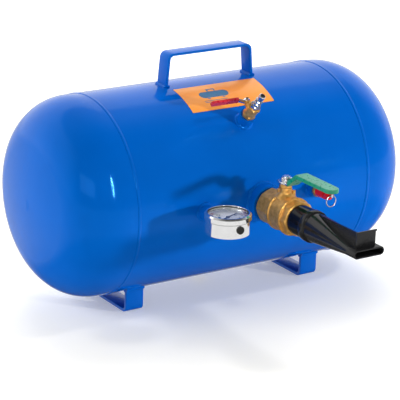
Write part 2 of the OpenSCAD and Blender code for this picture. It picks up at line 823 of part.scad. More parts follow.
// Toothed quadrant, plain at this size, that turns the pointer's pinion
module gauge_sector() color(brass) at_gauge() translate([0, -sector_pivot, movement_low]) {
    cylinder(h = movement_gap + 2 * plate_t, r = spindle_r);
    translate([0, 0, plate_t + (movement_gap - sector_t) / 2]) {
        cylinder(h = sector_t, r = sector_hub_r);
        rotate([0, 0, 90 - sector_swing - sector_lead])
            rotate_extrude(angle = sector_arc) square([sector_r, sector_t]);
    }
}

module gauge_pointer() color(black) at_gauge() {
    translate([0, 0, movement_low]) cylinder(h = pointer_low - movement_low, r = spindle_r);
    translate([0, 0, movement_low + plate_t + move_gap])
        cylinder(h = movement_gap - 2 * move_gap, r = pinion_r);
    translate([0, 0, pointer_low]) {
        cylinder(h = 2 * pointer_t, r = pointer_hub_r);
        rotate([0, 0, pointer_rest]) linear_extrude(pointer_t) polygon([
            [-pointer_tail, -1.5], [0, -1.2], [pointer_l, -0.3], [pointer_l, 0.3], [0, 1.2],
            [-pointer_tail, 1.5]
        ]);
    }
}

// Rubber plug in the filling hole, opposite the stem
module gauge_plug() color(black) at_gauge() translate([0, 0, gauge_plug_z]) rotate([90, 0, 0]) {
    cylinder_y = case_r - case_wall - 2;
    translate([0, 0, cylinder_y]) cylinder(h = case_wall + 3, r = gauge_plug_r - 1 - seat_fit);
    difference() {
        translate([0, 0, case_r - 3]) cylinder(h = 5, r = gauge_plug_r);
        translate([0, -gauge_plug_z, 0]) rotate([90, 0, 0])
            cylinder(h = gauge_h * 2, r = case_r + seat_fit, center = true);
    }
}

// ---------- Filling valve ----------

// From the filling valve's frame to its lever's: X runs along the lever and Z up the stem
module fill_lever_frame() on_fill() up_stem(fill_mid) rotate([0, 0, 180]) children();

module fill_valve_body() color(brass) on_fill() difference() {
    union() {
        translate([0, 0, fill_start - fill_bung_h + 4])
            cylinder(h = fill_bung_h - 4 + cut, r = fill_thread_r);
        translate([0, 0, fill_start]) flats_block(fill_d, fill_hex_l);
        translate([0, 0, fill_start + fill_hex_l - cut])
            cylinder(h = fill_joint - fill_start - fill_hex_l + cut, r = fill_d / 2);
        up_stem(fill_mid) cylinder(h = fill_boss_h, r = fill_boss_r);
    }
    cylinder(h = fill_mid, r = fill_port_r);
    translate([0, 0, fill_mid - fill_seat_out - seat_fit])
        cylinder(h = fill_joint, r = fill_ball_r + seat_fit);
    translate([0, 0, fill_mid - fill_seat_in]) cylinder(h = fill_joint, r = fill_cavity_r);
    translate([0, 0, fill_mid + fill_seat_out]) cylinder(h = fill_joint, r = fill_spigot_r + seat_fit);
    up_stem(fill_mid)
        stem_bores(fill_stem_r, fill_boss_h, fill_flange_y, fill_packing_low, fill_packing_r);
}

module fill_valve_cap() color(brass) on_fill() difference() {
    union() {
        translate([0, 0, fill_mid + fill_seat_out + seat_fit])
            cylinder(h = fill_joint - fill_mid - fill_seat_out, r = fill_spigot_r);
        translate([0, 0, fill_joint]) flats_block(fill_d, fill_end - fill_joint);
    }
    cylinder(h = fill_end, r = fill_port_r);
    translate([0, 0, fill_end - fill_socket_l])
        cylinder(h = fill_socket_l + cut, r = fill_thread_r + seat_fit);
}

module fill_seats() color(white) on_fill()
    seats(fill_mid, fill_seat_in, fill_seat_out, fill_ball_r, fill_port_r, fill_ball_r);

module fill_packing() color(white) on_fill() up_stem(fill_mid) translate([0, 0, fill_packing_low])
    ring(fill_packing_r - seat_fit, fill_stem_r + turn_fit, fill_packing_h);

module fill_gland_nut() color(brass) on_fill() up_stem(fill_mid)
    gland_nut(fill_stem_r, fill_packing_low + fill_packing_h, fill_boss_h, fill_gland_h,
        fill_packing_r, fill_gland_af);

module fill_ball() color(steel) on_fill()
    ball(fill_mid, fill_ball_r, fill_port_r, fill_stem_r, fill_ball_r - fill_tang_depth, 90);

module fill_stem() color(steel) on_fill() up_stem(fill_mid)
    stem(fill_stem_r, fill_ball_r, fill_flange_y, fill_lever_y + fill_lever_t + fill_nut_h + 0.8,
        fill_stem_r, fill_tang_depth, 90);

module fill_lever() color(steel) fill_lever_frame() translate([0, 0, fill_lever_y]) difference() {
    lever_strip(fill_eye_r, fill_lever_w, 0, fill_bend_start, fill_bend_end, fill_lever_l - 1.5,
        fill_rise, fill_lever_t);
    translate([0, 0, -cut]) cylinder(h = fill_lever_t + 2 * cut, r = fill_stem_r + seat_fit);
}

module fill_lever_grip() color(red) fill_lever_frame() translate([0, 0, fill_lever_y]) difference() {
    intersection() {
        translate([0, 0, -fill_grip_wall]) lever_strip(
            fill_grip_w / 2, fill_grip_w, 0, fill_bend_start, fill_bend_end, fill_lever_l,
            fill_rise, fill_lever_t + 2 * fill_grip_wall);
        translate([fill_grip_start, -fill_grip_w, -fill_grip_wall - cut])
            cube([fill_lever_l, 2 * fill_grip_w, fill_rise + 10]);
    }
    lever_strip(fill_eye_r, fill_lever_w + 2 * seat_fit, 0, fill_bend_start, fill_bend_end,
        fill_lever_l - 1.5 + seat_fit, fill_rise, fill_lever_t);
}

module fill_lever_nut() color(steel) on_fill() up_stem(fill_mid)
    lever_nut(fill_stem_r, fill_lever_y + fill_lever_t, fill_nut_h, fill_nut_af);

// Quick plug: thread, hexagon, shank, locking groove and tip
module quick_plug() color(steel) on_fill() translate([0, 0, fill_end]) difference() {
    union() {
        translate([0, 0, 0.3 - fill_socket_l]) cylinder(h = fill_socket_l, r = fill_thread_r);
        flats_block(plug_af, plug_hex_l);
        translate([0, 0, plug_hex_l - cut])
            cylinder(h = plug_collar_end - plug_hex_l + cut, r = plug_ring_r);
        rotate_extrude() polygon([
            [0, plug_collar_end], [plug_ring_r, plug_collar_end],
            [plug_groove_r, plug_collar_end + plug_bevel], [plug_groove_r, plug_groove_end],
            [plug_ring_r, plug_groove_end + plug_bevel], [plug_ring_r, plug_ring_end],
            [plug_groove_r, plug_ring_end + plug_bevel], [plug_groove_r, plug_neck_end],
            [plug_tip_r, plug_neck_end + plug_bevel], [plug_tip_r, plug_l - plug_bevel],
            [plug_tip_r - plug_bevel, plug_l], [0, plug_l]
        ]);
    }
    translate([0, 0, -fill_socket_l - cut]) cylinder(h = plug_l + fill_socket_l + 2 * cut, r = plug_bore_r);
}

// ---------- Relief valve ----------

module relief_body() color(brass) on_relief() difference() {
    union() {
        translate([0, 0, relief_start - relief_bung_h + 2]) cylinder(h = relief_bung_h, r = fill_thread_r);
        translate([0, 0, relief_start]) flats_block(relief_af, relief_hex_end - relief_start);
    }
    cylinder(h = relief_hex_end + cut, r = relief_port_r);
    translate([0, 0, relief_seat_z]) cylinder(h = relief_cap_l, r = relief_chamber_r);
}

module relief_cap() color(red) on_relief() translate([0, 0, relief_hex_end]) difference() {
    rotate_extrude() polygon([
        [0, 0], [relief_d / 2, 0], [relief_d / 2, relief_cap_l - 1], [relief_d / 2 - 1, relief_cap_l],
        [0, relief_cap_l]
    ]);
    translate([0, 0, -cut]) cylinder(h = relief_cap_l - relief_cap_wall + cut, r = relief_chamber_r);
    cylinder(h = relief_cap_l + cut, r = relief_stem_r + turn_fit);
}

// Coil, as a stack of rings joined by a riser
module relief_spring() color(steel) on_relief() {
    low = relief_seat_z + relief_disc_t + 0.1 + spring_wire_r;
    high = relief_cap_end - relief_cap_wall - 0.1 - spring_wire_r;
    step = (high - low) / (spring_turns - 1);
    for (i = [0 : spring_turns - 1]) translate([0, 0, low + i * step]) rotate_extrude()
        translate([spring_r, 0]) circle(spring_wire_r, $fn = 24);
    translate([spring_r, 0, low]) cylinder(h = high - low, r = spring_wire_r * 0.8);
}

// Disc on the seat and its stem, with a flattened eye for the ring at its outer end
module relief_stem() color(steel) on_relief() difference() {
    union() {
        translate([0, 0, relief_seat_z + turn_fit]) cylinder(h = relief_disc_t, r = relief_disc_r);
        translate([0, 0, relief_seat_z + turn_fit]) cylinder(h = eye_z - relief_seat_z, r = relief_stem_r);
        intersection() {
            translate([0, 0, knob_low + knob_h])
                cylinder(h = eye_z + eye_outer_r - knob_low - knob_h, r = eye_outer_r);
            translate([-eye_w / 2, -knob_r, knob_low]) cube([eye_w, 2 * knob_r, 2 * knob_h]);
        }
    }
    translate([0, 0, eye_z]) rotate([0, 90, 0]) cylinder(h = 3 * knob_r, r = eye_r, center = true);
}

module relief_knob() color(red) on_relief() translate([0, 0, knob_low]) difference() {
    rotate_extrude() polygon([
        [0, 0], [knob_r, 0], [knob_r, knob_h - 1.5], [knob_r - 1.5, knob_h], [0, knob_h]
    ]);
    translate([0, 0, -cut]) cylinder(h = knob_h + 2 * cut, r = relief_stem_r + seat_fit);
}

// Split ring, hanging straight down from the eye
module relief_ring() color(steel) on_relief() translate([0, 0, eye_z]) rotate([relief_angle, 0, 0])
    translate([0, -ring_r, 0]) rotate_extrude() translate([ring_r, 0]) circle(wire_r, $fn = 32);

// ---------- Assembly ----------

tank_shell();
head_left();
head_right();
girth_welds();
seam_weld();
handle();
handle_welds();
foot_left();
foot_right();
foot_welds();
label_plate();
valve_bung();
gauge_bung();
relief_bung();
fill_bung();
drain_bung();
bung_welds();
drain_plug();
outlet_nipple();
main_valve_body();
main_valve_cap();
main_seats();
main_packing();
main_gland_nut();
main_ball();
main_stem();
main_lever();
main_lever_grip();
main_lever_nut();
nozzle_sleeve();
nozzle();
rim_stop();
gauge_case();
gauge_bezel();
gauge_lens();
gauge_dial();
gauge_pointer();
gauge_socket();
bourdon_tube();
gauge_movement();
gauge_sector();
gauge_plug();
fill_valve_body();
fill_valve_cap();
fill_seats();
fill_packing();
fill_gland_nut();
fill_ball();
fill_stem();
fill_lever();
fill_lever_grip();
fill_lever_nut();
quick_plug();
relief_body();
relief_cap();
relief_spring();
relief_stem();
relief_knob();
relief_ring();
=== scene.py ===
"""Looks of a portable air receiver tank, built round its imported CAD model.

Everything is in metres in the model's own frame: X along the tank, -Y towards the nozzle, Z up.
"""

import json
import math

import bmesh
import bpy
from mathutils import Matrix, Vector, noise


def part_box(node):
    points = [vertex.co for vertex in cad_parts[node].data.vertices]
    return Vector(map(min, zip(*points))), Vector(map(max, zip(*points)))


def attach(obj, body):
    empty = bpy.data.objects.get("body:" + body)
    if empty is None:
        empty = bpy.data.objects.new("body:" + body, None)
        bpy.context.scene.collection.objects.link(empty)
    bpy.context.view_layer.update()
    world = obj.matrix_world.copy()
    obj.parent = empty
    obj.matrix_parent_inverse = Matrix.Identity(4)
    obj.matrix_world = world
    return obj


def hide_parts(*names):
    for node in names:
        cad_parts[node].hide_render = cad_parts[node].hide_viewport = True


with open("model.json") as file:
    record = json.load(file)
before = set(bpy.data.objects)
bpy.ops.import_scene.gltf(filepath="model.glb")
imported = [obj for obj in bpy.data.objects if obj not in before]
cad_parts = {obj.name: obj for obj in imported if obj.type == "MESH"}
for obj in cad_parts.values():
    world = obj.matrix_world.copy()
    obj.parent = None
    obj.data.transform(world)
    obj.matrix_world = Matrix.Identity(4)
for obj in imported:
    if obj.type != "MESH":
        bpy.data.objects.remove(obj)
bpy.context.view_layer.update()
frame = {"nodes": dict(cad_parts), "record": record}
MM = 0.001
TINY = 0.001 * MM  # points closer than this are one point


# ---------- Places that the frame gives ----------


def middle(node):
    """Middle of a CAD node's box."""
    low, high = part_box(node)
    return (Vector(low) + Vector(high)) / 2


def size_of(node):
    """Sides of a CAD node's box."""
    low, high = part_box(node)
    return Vector(high) - Vector(low)


def joint(name):
    """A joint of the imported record."""
    return next(j for j in frame["record"]["behaviour"]["joints"] if j["name"] == name)


def mount(name):
    """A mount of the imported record."""
    return next(m for m in frame["record"]["mounts"] if m["name"] == name)


AXIS = middle("tank_shell")
TANK_R = size_of("tank_shell").z / 2
SHELL_HALF = size_of("tank_shell").x / 2
RELIEF_OUT = Vector(joint("relief_pull_slide")["axis"])
FILL_OUT = Vector(mount("quick_plug_tip")["axis"])
FORWARD = Vector((0, -1, 0))
DOWN = Vector((0, 0, -1))
SLOT_OF = {part["node"]: part["material_slot"] for part in frame["record"]["subparts"]}
BODY_OF = {
    node: body for body, members in frame["record"]["behaviour"]["bodies"].items() for node in members
}


def fitting_frame(node, out):
    """Frame of a fitting: its origin on the tank's axis, Z out of the tank and X along it."""
    along = Vector((1, 0, 0))
    across = out.cross(along)
    place = Matrix((along, across, out)).transposed().to_4x4()
    place.translation = Vector((middle(node).x, AXIS.y, AXIS.z))
    return place


# ---------- Finishes ----------

NOISE_LOW, NOISE_HIGH = 0.3, 0.7  # nearly all of a noise texture's values lie between these


class Finish:
    """A procedural material in the making: a Principled shader and the textures that feed it."""

    def __init__(self, name, **sockets):
        self.material = bpy.data.materials.new(name)
        self.material.use_nodes = True
        self.tree = self.material.node_tree
        self.shader = self.tree.nodes["Principled BSDF"]
        self.place = self.tree.nodes.new("ShaderNodeTexCoord").outputs["Object"]
        for socket, value in sockets.items():
            self.shader.inputs[socket.replace("_", " ")].default_value = value

    def link(self, source, socket):
        self.tree.links.new(source, self.shader.inputs[socket])

    def stretched(self, stretch):
        """Object coordinates, scaled by a different amount along each axis."""
        mapping = self.tree.nodes.new("ShaderNodeMapping")
        mapping.inputs["Scale"].default_value = stretch
        self.tree.links.new(self.place, mapping.inputs["Vector"])
        return mapping.outputs["Vector"]

    def noise(self, scale, detail, stretch=None):
        """Noise texture with a number of cells per metre."""
        texture = self.tree.nodes.new("ShaderNodeTexNoise")
        texture.inputs["Scale"].default_value = scale
        texture.inputs["Detail"].default_value = detail
        self.tree.links.new(self.stretched(stretch) if stretch else self.place, texture.inputs["Vector"])
        return texture.outputs["Fac"]

    def colours(self, factor, low, high):
        """Base colour that drifts from low to high as factor does."""
        ramp = self.tree.nodes.new("ShaderNodeValToRGB")
        ramp.color_ramp.elements[0].position = NOISE_LOW
        ramp.color_ramp.elements[1].position = NOISE_HIGH
        ramp.color_ramp.elements[0].color = (*low, 1)
        ramp.color_ramp.elements[1].color = (*high, 1)
        self.tree.links.new(factor, ramp.inputs["Fac"])
        self.link(ramp.outputs["Color"], "Base Color")

    def roughness(self, factor, low, high):
        """Roughness that drifts from low to high as factor does."""
        spread = self.tree.nodes.new("ShaderNodeMapRange")
        spread.inputs["From Min"].default_value = NOISE_LOW
        spread.inputs["From Max"].default_value = NOISE_HIGH
        spread.inputs["To Min"].default_value = low
        spread.inputs["To Max"].default_value = high
        self.tree.links.new(factor, spread.inputs["Value"])
        self.link(spread.outputs["Result"], "Roughness")

    def bumps(self, *layers):
        """Relief from layers of (factor, height in metres), each over the one before."""
        normal = None
        for factor, height in layers:
            bump = self.tree.nodes.new("ShaderNodeBump")
            bump.inputs["Distance"].default_value = height
            self.tree.links.new(factor, bump.inputs["Height"])
            if normal is not None:
                self.tree.links.new(normal, bump.inputs["Normal"])
            normal = bump.outputs["Normal"]
        self.link(normal, "Normal")


def enamel(name, low, high, tint, peel=0.03 * MM, rough=(0.07, 0.12), ior=1.4):
    """Sprayed gloss paint with an orange peel of a given height."""
    finish = Finish(name, Specular_Tint=(*tint, 1), IOR=ior)
    finish.colours(finish.noise(7, 3), low, high)
    finish.roughness(finish.noise(30, 4), *rough)
    finish.bumps((finish.noise(230, 2), peel), (finish.noise(900, 2), peel / 6))
    return finish.material


def cast_brass(name, low, high):
    """Forged brass with a sandy skin and slightly uneven colour."""
    finish = Finish(name, Metallic=0.75)
    finish.colours(finish.noise(170, 6), low, high)
    finish.roughness(finish.noise(420, 4), 0.3, 0.42)
    finish.bumps((finish.noise(650, 4), 0.1 * MM), (finish.noise(2600, 2), 0.04 * MM))
    return finish.material


def metal(name, low, high, rough, stretch=None, grain=0.01 * MM, metallic=1.0):
    """Plated or polished metal, with fine marks that run along one axis where stretch says so."""
    finish = Finish(name, Metallic=metallic)
    finish.colours(finish.noise(90, 4), low, high)
    finish.roughness(finish.noise(260, 5, stretch), *rough)
    finish.bumps((finish.noise(900, 4, stretch), grain))
    return finish.material


def vinyl(name, low, high):
    """Dipped vinyl with a soft satin skin."""
    finish = Finish(name, Specular_IOR_Level=0.6, Sheen_Weight=0.08)
    finish.colours(finish.noise(60, 4), low, high)
    finish.roughness(finish.noise(200, 3), 0.24, 0.36)
    finish.bumps((finish.noise(140, 2), 0.01 * MM))
    return finish.material


def matt(name, low, high, rough, scale=240):
    """Plain moulded or printed surface."""
    finish = Finish(name)
    finish.colours(finish.noise(scale, 3), low, high)
    finish.roughness(finish.noise(scale * 2, 3), *rough)
    finish.bumps((finish.noise(scale * 5, 2), 0.02 * MM))
    return finish.material


def printed_film(name, low, high):
    """Label film with a paler tint that drifts across it."""
    finish = Finish(name, Coat_Weight=0.4, Coat_Roughness=0.15)
    finish.colours(finish.noise(13, 1, (1.0, 0.5, 0.5)), low, high)
    finish.roughness(finish.noise(120, 3), 0.28, 0.4)
    finish.bumps((finish.noise(160, 3), 0.04 * MM))
    return finish.material


def clear_glass(name):
    """Gauge window, with a trace of haze."""
    finish = Finish(name, Transmission_Weight=1.0, IOR=1.3, Base_Color=(0.97, 0.985, 1.0, 1))
    finish.roughness(finish.noise(90, 3), 0.0, 0.03)
    return finish.material


BLUE_TINT = (0.08, 0.4, 1.0)
RED_TINT = (1.0, 0.7, 0.7)
NO_TINT = (1.0, 1.0, 1.0)
BRUSHED_ROUND = (1.0, 1.0, 14.0)  # fine marks that run round an upright case
SEMI_MATT = (0.35, 0.45)  # roughness of dial print and dial paint

FINISHES = {
    "tank_paint": enamel("tank_enamel", (0.0, 0.098, 0.47), (0.0, 0.112, 0.53), BLUE_TINT),
    "label_film": printed_film("label_print", (0.84, 0.26, 0.012), (0.97, 0.36, 0.045)),
    "plated_steel": metal("plated_steel", (0.74, 0.75, 0.77), (0.88, 0.88, 0.9), (0.16, 0.26),
                          grain=0.003 * MM),
    "chrome_ball": metal("chromed_ball", (0.74, 0.75, 0.77), (0.84, 0.85, 0.87), (0.04, 0.1)),
    "chrome_nuts": metal("bright_chrome", (0.84, 0.85, 0.86), (0.95, 0.95, 0.96), (0.1, 0.18),
                         grain=0.001 * MM),
    "brass": cast_brass("forged_brass", (0.62, 0.29, 0.06), (0.95, 0.54, 0.15)),
    "white_seal": matt("seal_white", (0.8, 0.8, 0.77), (0.9, 0.9, 0.88), (0.5, 0.7)),
    "black_nozzle": enamel("black_enamel", (0.008, 0.008, 0.009), (0.014, 0.014, 0.015), NO_TINT,
                           peel=0.05 * MM, rough=(0.12, 0.2)),
    "black_sleeve": enamel("black_sleeve", (0.003, 0.003, 0.004), (0.007, 0.007, 0.008), NO_TINT,
                           peel=0.02 * MM, rough=(0.08, 0.13), ior=1.3),
    "green_vinyl": vinyl("green_grip", (0.003, 0.21, 0.11), (0.008, 0.27, 0.15)),
    "red_vinyl": vinyl("red_grip", (0.46, 0.006, 0.018), (0.6, 0.012, 0.035)),
    "polished_case": metal("polished_case", (0.9, 0.9, 0.9), (0.96, 0.96, 0.96), (0.05, 0.11),
                           stretch=BRUSHED_ROUND, grain=0.002 * MM, metallic=0.97),
    "gauge_glass": clear_glass("gauge_window"),
    "gauge_face": matt("dial_white", (0.84, 0.84, 0.85), (0.92, 0.92, 0.92), SEMI_MATT),
    "pointer_black": matt("pointer_black", (0.008, 0.008, 0.009), (0.016, 0.016, 0.017), (0.35, 0.5)),
    "black_rubber": matt("plug_rubber", (0.006, 0.006, 0.006), (0.014, 0.014, 0.014), (0.6, 0.78), 400),
    "red_cap": enamel("red_lacquer", (0.5, 0.006, 0.01), (0.62, 0.012, 0.016), RED_TINT, peel=0.02 * MM),
}
SCALE_RED = matt("scale_red", (0.5, 0.01, 0.015), (0.6, 0.02, 0.02), SEMI_MATT)
SCALE_BLUE = matt("scale_blue", (0.01, 0.16, 0.35), (0.02, 0.2, 0.42), SEMI_MATT)
PRINT_BLUE = matt("print_blue", (0.03, 0.12, 0.24), (0.045, 0.16, 0.3), (0.3, 0.4))


def paint(obj, material):
    obj.data.materials.clear()
    obj.data.materials.append(material)


for node, obj in frame["nodes"].items():
    for material_slot in obj.material_slots:
        material_slot.material = FINISHES[SLOT_OF[node]]


# ---------- Making pieces ----------

SMOOTH_BELOW = 35  # degrees; a fold sharper than this keeps a crisp edge
BEAD_SMOOTH_BELOW = 80
SOFT_SMOOTH_BELOW = 60
NOZZLE_SMOOTH_BELOW = 30


def piece_from(bm, name, material, body, smooth_below=SMOOTH_BELOW):
    """Turns a bmesh in the model's frame into a piece that rides on a body."""
    bmesh.ops.recalc_face_normals(bm, faces=bm.faces)
    limit = math.radians(smooth_below)
    for face in bm.faces:
        face.smooth = True
    for edge in bm.edges:
        if len(edge.link_faces) == 2 and edge.calc_face_angle(0) > limit:
            edge.smooth = False
    mesh = bpy.data.meshes.new(name)
    bm.to_mesh(mesh)
    bm.free()
    obj = bpy.data.objects.new(name, mesh)
    bpy.context.scene.collection.objects.link(obj)
    paint(obj, material)
    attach(obj, body)
    return obj


def stand_in(bm, node, smooth_below=SMOOTH_BELOW):
    """Makes a piece that takes a CAD node's place, body and finish."""
    obj = piece_from(bm, node + "_form", FINISHES[SLOT_OF[node]], BODY_OF[node], smooth_below)
    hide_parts(node)


def welded_copy(node):
    """A bmesh of a CAD node with its split vertices joined."""
    bm = bmesh.new()
    bm.from_mesh(frame["nodes"][node].data)
    bmesh.ops.remove_doubles(bm, verts=bm.verts, dist=2 * TINY)
    return bm


def rounded(node, radius, steps=2):
    """Takes the sharp edges off a CAD node, as tumbling or filing does."""
    flat = math.radians(0.6)
    sharp = math.radians(40)
    bm = welded_copy(node)
    bmesh.ops.dissolve_limit(bm, angle_limit=flat, verts=bm.verts, edges=bm.edges)
    edges = [e for e in bm.edges if len(e.link_faces) == 2 and e.calc_face_angle(0) > sharp]
    bmesh.ops.bevel(
        bm, geom=edges, offset=radius, segments=steps, profile=0.5, affect="EDGES", clamp_overlap=True)
    bmesh.ops.triangulate(bm, faces=[f for f in bm.faces if len(f.verts) > 4])
    stand_in(bm, node)


def softened(node, voxel, passes):
    """Rounds every edge and corner of a CAD node, as casting or dipping does."""
    bm = welded_copy(node)
    mesh = bpy.data.meshes.new(node + "_soft")
    bm.to_mesh(mesh)
    bm.free()
    source = bpy.data.objects.new(node + "_soft", mesh)
    bpy.context.scene.collection.objects.link(source)
    remesh = source.modifiers.new("remesh", "REMESH")
    remesh.mode = "VOXEL"
    remesh.voxel_size = voxel
    smooth = source.modifiers.new("smooth", "SMOOTH")
    smooth.iterations = passes
    soft = bpy.data.meshes.new_from_object(source.evaluated_get(bpy.context.evaluated_depsgraph_get()))
    bpy.data.objects.remove(source)
    bm = bmesh.new()
    bm.from_mesh(soft)
    bpy.data.meshes.remove(soft)
    stand_in(bm, node, SOFT_SMOOTH_BELOW)


def loft(bm, rings, closed=True):
    """Joins rings of equally many points with quads, and gives their rows of vertices.

    Where closed is set, the last ring is joined to the first.
    """
    rows = [[bm.verts.new(point) for point in ring] for ring in rings]
    pairs = list(zip(rows, rows[1:] + rows[:1])) if closed else list(zip(rows, rows[1:]))
    for one, other in pairs:
        for i in range(len(one)):
            k = (i + 1) % len(one)
            bm.faces.new((one[i], one[k], other[k], other[i]))
    return rows


# ---------- Welds ----------

RIPPLE = 2.6 * MM  # pitch of the ripples along a bead
STEPS_PER_RIPPLE = 8  # round a boss
BEAD_SIDES = 8
BEAD_SINK = 0.3 * MM  # how far a bead reaches into the plate
SCALE_DEPTH = 0.16  # share of a bead's height, between two of its scales
DRIFT_HEIGHT = 0.12  # share of a bead's height
DRIFT_SCALE = 130  # cells per metre of a bead's unevenness


def ripple(distance, seed):
    """Height of a bead as a share of its full height, in overlapping scales with some unevenness."""
    scale = abs(math.sin(math.pi * distance / RIPPLE))
    drift = noise.noise(Vector((distance * DRIFT_SCALE, seed, 0.0)))
    return 1 - SCALE_DEPTH * (1 - scale) + DRIFT_HEIGHT * drift


def girth_welds():
    """Two beads where the heads meet the shell."""
    height = size_of("girth_welds").z / 2 - TANK_R
    half_width = 2.7 * MM
    steps = 1400
    bm = bmesh.new()
    for side in (-1, 1):
        rings = []
        for i in range(steps):
            angle = math.tau * i / steps
            rise = height * ripple(angle * TANK_R, side)
            ring = []
            for k in range(BEAD_SIDES + 1):
                turn = math.pi * k / BEAD_SIDES
                radius = TANK_R - BEAD_SINK + (rise + BEAD_SINK) * math.sin(turn)
                x = AXIS.x + side * SHELL_HALF + half_width * math.cos(turn)
                ring.append((x, AXIS.y + radius * math.cos(angle), AXIS.z + radius * math.sin(angle)))
            rings.append(ring)
        loft(bm, rings)
    stand_in(bm, "girth_welds", BEAD_SMOOTH_BELOW)


def bung_welds():
    """A fillet round each boss, following the tank's curve."""
    bosses = {
        "valve_bung": FORWARD, "gauge_bung": FORWARD, "relief_bung": RELIEF_OUT,
        "fill_bung": FILL_OUT, "drain_bung": DOWN,
    }
    leg = 3.2 * MM
    boss_sink = 0.4 * MM
    bulge_share = 0.21  # of the leg, at the middle of the fillet
    swell_share = 0.15  # of the leg, by which it rises and falls with the ripples
    bm = bmesh.new()
    for seed, (node, out) in enumerate(bosses.items()):
        place = fitting_frame(node, out)
        boss_r = size_of(node).x / 2
        steps = int(math.tau * boss_r / RIPPLE) * STEPS_PER_RIPPLE
        rings = []
        for i in range(steps):
            angle = math.tau * i / steps
            swell = ripple(angle * boss_r, seed)
            ring = []
            for k in range(BEAD_SIDES + 1):
                up = k / BEAD_SIDES
                bulge = bulge_share * leg * swell * math.sin(math.pi * up)
                away = boss_r - boss_sink + leg * (1 - up) + bulge
                x = away * math.cos(angle)
                y = away * math.sin(angle)
                surface = math.sqrt(TANK_R ** 2 - y ** 2)
                z = surface - BEAD_SINK + leg * up * (1 - swell_share * (1 - swell)) + bulge
                ring.append(place @ Vector((x, y, z)))
            rings.append(ring)
        loft(bm, rings)
    stand_in(bm, "bung_welds", BEAD_SMOOTH_BELOW)


# ---------- Nozzle ----------

QUARTER_STEPS = 16


def slot_ring(half_flat, radius, centre):
    """Outline of a slot with round ends, as points that share their directions with a circle's."""
    points = []
    for quarter in range(4):
        side = 1 if quarter in (0, 3) else -1
        for i in range(QUARTER_STEPS + 1):
            angle = math.pi / 2 * (quarter + i / QUARTER_STEPS)
            points.append((side * half_flat + radius * math.cos(angle), centre + radius * math.sin(angle)))
    return points


def nozzle():
    """Steel tube, pressed flat towards its mouth."""
    place = fitting_frame("valve_bung", FORWARD)
    low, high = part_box("nozzle")
    start = AXIS.y - high[1]
    end = AXIS.y - low[1]
    wall = 2.2 * MM
    lip = 0.5 * MM
    mouth_w = size_of("nozzle").x
    mouth_h = 12.5 * MM
    mouth_l = 22 * MM
    mouth_rise = 2.5 * MM  # how far the mouth lies above the tube's axis
    sleeve_wall = 5 * MM
    spigot_r = size_of("nozzle_sleeve").z / 2 - sleeve_wall
    spigot_end = AXIS.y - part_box("nozzle_sleeve")[0][1]
    collar_r = (high[2] - low[2]) / 2
    collar_end = spigot_end + 11 * MM
    neck_r = collar_r - 2.5 * MM
    neck_end = spigot_end + 15 * MM
    fan_end = end - mouth_l
    fan_steps = 20
    half_flat = (mouth_w - mouth_h) / 2

    def flattened(z, share, inset):
        """Section of the fan: share runs from 0, a round tube, to 1, the mouth."""
        radius = neck_r + (mouth_h / 2 - neck_r) * share - inset
        outline = slot_ring(half_flat * share, radius, mouth_rise * share)
        return [place @ Vector((x, y, z)) for x, y in outline]

    def tube(z, radius):
        """Round section with as many points as a flattened one."""
        return [place @ Vector((x, y, z)) for x, y in slot_ring(0, radius, 0)]

    def fan(inset):
        """Sections from the neck to the mouth."""
        return [flattened(neck_end + (fan_end - neck_end) * i / fan_steps, i / fan_steps, inset)
                for i in range(fan_steps + 1)]

    outside = [
        tube(start, spigot_r), tube(spigot_end, spigot_r),
        tube(spigot_end, collar_r - 2 * lip), tube(spigot_end + lip, collar_r - 0.4 * lip),
        tube(spigot_end + 2 * lip, collar_r), tube(collar_end - 3 * lip, collar_r),
        tube(collar_end - lip, collar_r - lip), tube(collar_end, collar_r - 3 * lip),
        tube(collar_end + lip, neck_r), *fan(0),
        flattened(end - lip, 1, 0), flattened(end - lip * 0.3, 1, lip * 0.3), flattened(end, 1, lip),
    ]
    inside = [
        flattened(end, 1, wall - lip * 0.4), flattened(end - lip, 1, wall), *reversed(fan(wall)),
        tube(spigot_end + wall, neck_r - wall), tube(spigot_end + wall, spigot_r - wall),
        tube(start, spigot_r - wall),
    ]
    bm = bmesh.new()
    loft(bm, outside + inside)
    bmesh.ops.remove_doubles(bm, verts=bm.verts, dist=TINY)
    bmesh.ops.dissolve_degenerate(bm, edges=bm.edges, dist=TINY)
    stand_in(bm, "nozzle", NOZZLE_SMOOTH_BELOW)


# ---------- Label ----------

PRINT_LIFT = 0.06 * MM
LABEL_LIFT = 0.45 * MM  # from the tank's surface to the print's underside
LABEL_REACH = 60 * MM  # how far up the label the print is cut into strips
SLICE = 2 * MM  # height of the flat strips that follow the tank's curve


def on_label(name, outlines, material):
    """Thin print on the label. Outlines are in mm, (along X, up the label) from its lower edge's middle."""
    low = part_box("label_plate")[0]
    radius = TANK_R + LABEL_LIFT
    start = math.asin((low[2] - AXIS.z) / TANK_R)
    bm = bmesh.new()
    for outline in outlines:
        face = bm.faces.new([bm.verts.new((u * MM, v * MM, 0)) for u, v in outline])
        face.normal_update()
    for k in range(1, round(LABEL_REACH / SLICE)):
        parts = bm.verts[:] + bm.edges[:] + bm.faces[:]
        bmesh.ops.bisect_plane(bm, geom=parts, plane_co=(0, k * SLICE, 0), plane_no=(0, 1, 0))
    bmesh.ops.triangulate(bm, faces=bm.faces)
    top = bmesh.ops.extrude_face_region(bm, geom=bm.faces[:])["geom"]
    raised = {v for v in top if isinstance(v, bmesh.types.BMVert)}
    for vert in bm.verts:
        u, v, _ = vert.co
        r = radius + (PRINT_LIFT if vert in raised else 0)
        angle = start + v / TANK_R
        vert.co = (AXIS.x + u, AXIS.y - r * math.cos(angle), AXIS.z + r * math.sin(angle))
    obj = piece_from(bm, name, material, "tank")


